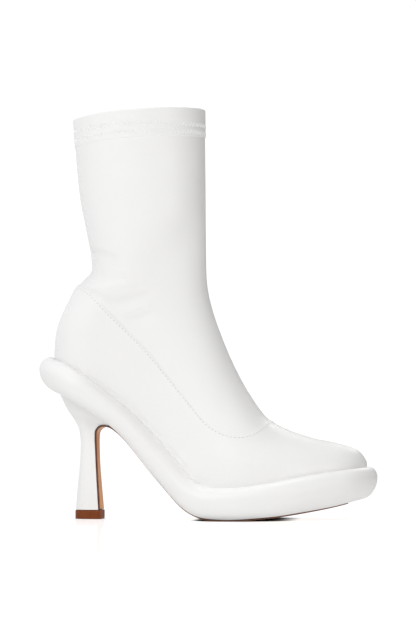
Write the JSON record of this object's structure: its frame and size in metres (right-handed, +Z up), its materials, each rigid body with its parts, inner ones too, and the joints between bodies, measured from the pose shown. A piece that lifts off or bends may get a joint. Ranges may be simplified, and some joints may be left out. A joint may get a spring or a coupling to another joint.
{
  "type": "high-heeled ankle boot",
  "caption": "Pull-on ankle boot for the right foot, with a pointed toe, a fitted leg, a padded platform edge and a high waisted heel; it dresses a foot and stands on its sole.",
  "frame": {"origin": "on the floor, under the centre of the boot's box", "axes": "+X towards the toe, +Y towards the inner side of the foot, +Z up the leg"},
  "size_m": [0.2392, 0.0962, 0.288],
  "materials": {
    "vamp_leather": "smooth white calf, soft sheen",
    "leg_leather": "soft white stretch leather, soft sheen",
    "platform_leather": "smooth white leather over padding",
    "heel_leather": "smooth white leather wrapped over a heel block",
    "sole_leather": "tan sole leather with a dark brown cut edge",
    "lining_leather": "pale unglazed lining leather",
    "tip_rubber": "hard brown rubber, matt"
  },
  "bodies": {
    "root": {"upper": "vamp_leather", "shaft": "leg_leather", "platform": "platform_leather", "heel": "heel_leather", "outsole": "sole_leather", "insole": "lining_leather", "heel_tip": "tip_rubber"}
  },
  "joints": []
}
